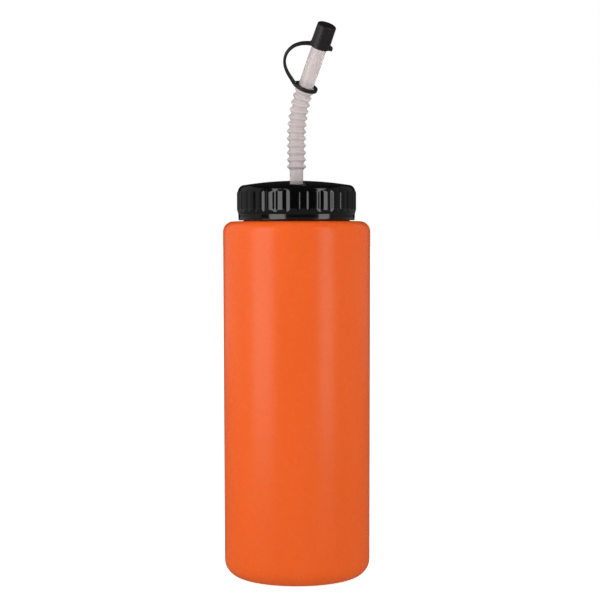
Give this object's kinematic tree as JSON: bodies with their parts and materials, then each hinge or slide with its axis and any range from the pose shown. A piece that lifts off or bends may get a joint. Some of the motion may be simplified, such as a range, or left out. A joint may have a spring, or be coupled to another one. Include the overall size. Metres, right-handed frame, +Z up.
{
  "type": "squeeze bottle",
  "caption": "Round squeeze bottle with a ribbed screw lid, a bellows drinking straw and a tip cap on a tether.",
  "frame": {"origin": "centre of the bottle's base, on the surface that it stands on", "axes": "+Z up along the bottle and the lid's thread; -Y is the side towards the viewer, and the straw leans to +X and -Y"},
  "size_m": [0.0826, 0.0826, 0.3088],
  "materials": {
    "squeeze_body": "satin orange squeeze polyethylene",
    "lid": "gloss black polypropylene",
    "gasket": "matt pale sealing ring",
    "straw": "frosted translucent polyethylene",
    "closure": "satin charcoal soft vinyl"
  },
  "bodies": {
    "bottle": {"bottle_body": "squeeze_body"},
    "gasket": {"lid_gasket": "gasket"},
    "lid": {"screw_lid": "lid"},
    "straw_tube": {"straw_lower_tube": "straw"},
    "bellows_01": {"bellows_ring_01": "straw"},
    "bellows_02": {"bellows_ring_02": "straw"},
    "bellows_03": {"bellows_ring_03": "straw"},
    "bellows_04": {"bellows_ring_04": "straw"},
    "bellows_05": {"bellows_ring_05": "straw"},
    "bellows_06": {"bellows_ring_06": "straw"},
    "bellows_07": {"bellows_ring_07": "straw"},
    "bellows_08": {"bellows_ring_08": "straw"},
    "bellows_09": {"bellows_ring_09": "straw"},
    "bellows_10": {"bellows_ring_10": "straw"},
    "bellows_11": {"bellows_ring_11": "straw"},
    "mouthpiece": {"straw_mouthpiece": "straw"},
    "tether": {"tether_ring": "closure", "tether_strap": "closure"},
    "cap": {"tip_cap": "closure"}
  },
  "joints": [
    {"name": "lid_lift", "type": "slide", "parent": "bottle", "child": "gasket", "axis": [0, 0, 1], "range_m": [0, 0.00884]},
    {"name": "lid_turn", "type": "hinge", "parent": "gasket", "child": "lid", "pos_m": [0, 0, 0.21], "axis": [0, 0, 1], "range_deg": [0, 756]},
    {"name": "straw_slide", "type": "slide", "parent": "lid", "child": "straw_tube", "axis": [0, 0, 1], "range_m": [-0.004, 0.19]},
    {"name": "straw_spin", "type": "hinge", "parent": "straw_tube", "child": "bellows_01", "pos_m": [0, 0, 0.22803], "axis": [0, 0, 1], "continuous": true},
    {"name": "bend_lower_1", "type": "hinge", "parent": "bellows_01", "child": "bellows_02", "pos_m": [0, 0, 0.23197], "axis": [0.7848, 0.6198, 0], "range_deg": [-8, 8]},
    {"name": "bend_lower_2", "type": "hinge", "parent": "bellows_02", "child": "bellows_03", "pos_m": [0, 0, 0.23589], "axis": [0.7848, 0.6198, 0], "range_deg": [-8, 8]},
    {"name": "bend_lower_3", "type": "hinge", "parent": "bellows_03", "child": "bellows_04", "pos_m": [0, 0, 0.23983], "axis": [0.7848, 0.6198, 0], "range_deg": [-8, 8]},
    {"name": "bend_lower_4", "type": "hinge", "parent": "bellows_04", "child": "bellows_05", "pos_m": [0, 0, 0.24375], "axis": [0.7848, 0.6198, 0], "range_deg": [-8, 8]},
    {"name": "bend_upper_1", "type": "hinge", "parent": "bellows_05", "child": "bellows_06", "pos_m": [0, 0, 0.24768], "axis": [0.7848, 0.6198, 0], "range_deg": [-12.3, 3.6]},
    {"name": "bend_upper_2", "type": "hinge", "parent": "bellows_06", "child": "bellows_07", "pos_m": [0.00018, -0.00023, 0.2516], "axis": [0.7848, 0.6198, 0], "range_deg": [-12.3, 3.6]},
    {"name": "bend_upper_3", "type": "hinge", "parent": "bellows_07", "child": "bellows_08", "pos_m": [0.00055, -0.0007, 0.25549], "axis": [0.7848, 0.6198, 0], "range_deg": [-12.3, 3.6]},
    {"name": "bend_upper_4", "type": "hinge", "parent": "bellows_08", "child": "bellows_09", "pos_m": [0.0011, -0.00139, 0.25932], "axis": [0.7848, 0.6198, 0], "range_deg": [-12.3, 3.6]},
    {"name": "bend_upper_5", "type": "hinge", "parent": "bellows_09", "child": "bellows_10", "pos_m": [0.00182, -0.00231, 0.26307], "axis": [0.7848, 0.6198, 0], "range_deg": [-12.3, 3.6]},
    {"name": "bend_upper_6", "type": "hinge", "parent": "bellows_10", "child": "bellows_11", "pos_m": [0.00272, -0.00345, 0.26672], "axis": [0.7848, 0.6198, 0], "range_deg": [-12.3, 3.6]},
    {"name": "bend_upper_7", "type": "hinge", "parent": "bellows_11", "child": "mouthpiece", "pos_m": [0.00379, -0.0048, 0.27026], "axis": [0.7848, 0.6198, 0], "range_deg": [-12.3, 3.6]},
    {"name": "tether_spin", "type": "hinge", "parent": "mouthpiece", "child": "tether", "pos_m": [0.0051, -0.00646, 0.27388], "axis": [0.3127, -0.3959, 0.8634], "continuous": true},
    {"name": "cap_pull", "type": "slide", "parent": "tether", "child": "cap", "axis": [0.3127, -0.3959, 0.8634], "range_m": [0, 0.013], "deforming": ["tether_strap"]}
  ],
  "couplings": [
    {"joint": "lid_lift", "follows": "lid_turn", "m_per_rad": 0.00066845},
    {"joint": "bend_lower_2", "follows": "bend_lower_1", "ratio": 1},
    {"joint": "bend_lower_3", "follows": "bend_lower_1", "ratio": 1},
    {"joint": "bend_lower_4", "follows": "bend_lower_1", "ratio": 1},
    {"joint": "bend_upper_2", "follows": "bend_upper_1", "ratio": 1},
    {"joint": "bend_upper_3", "follows": "bend_upper_1", "ratio": 1},
    {"joint": "bend_upper_4", "follows": "bend_upper_1", "ratio": 1},
    {"joint": "bend_upper_5", "follows": "bend_upper_1", "ratio": 1},
    {"joint": "bend_upper_6", "follows": "bend_upper_1", "ratio": 1},
    {"joint": "bend_upper_7", "follows": "bend_upper_1", "ratio": 1}
  ]
}
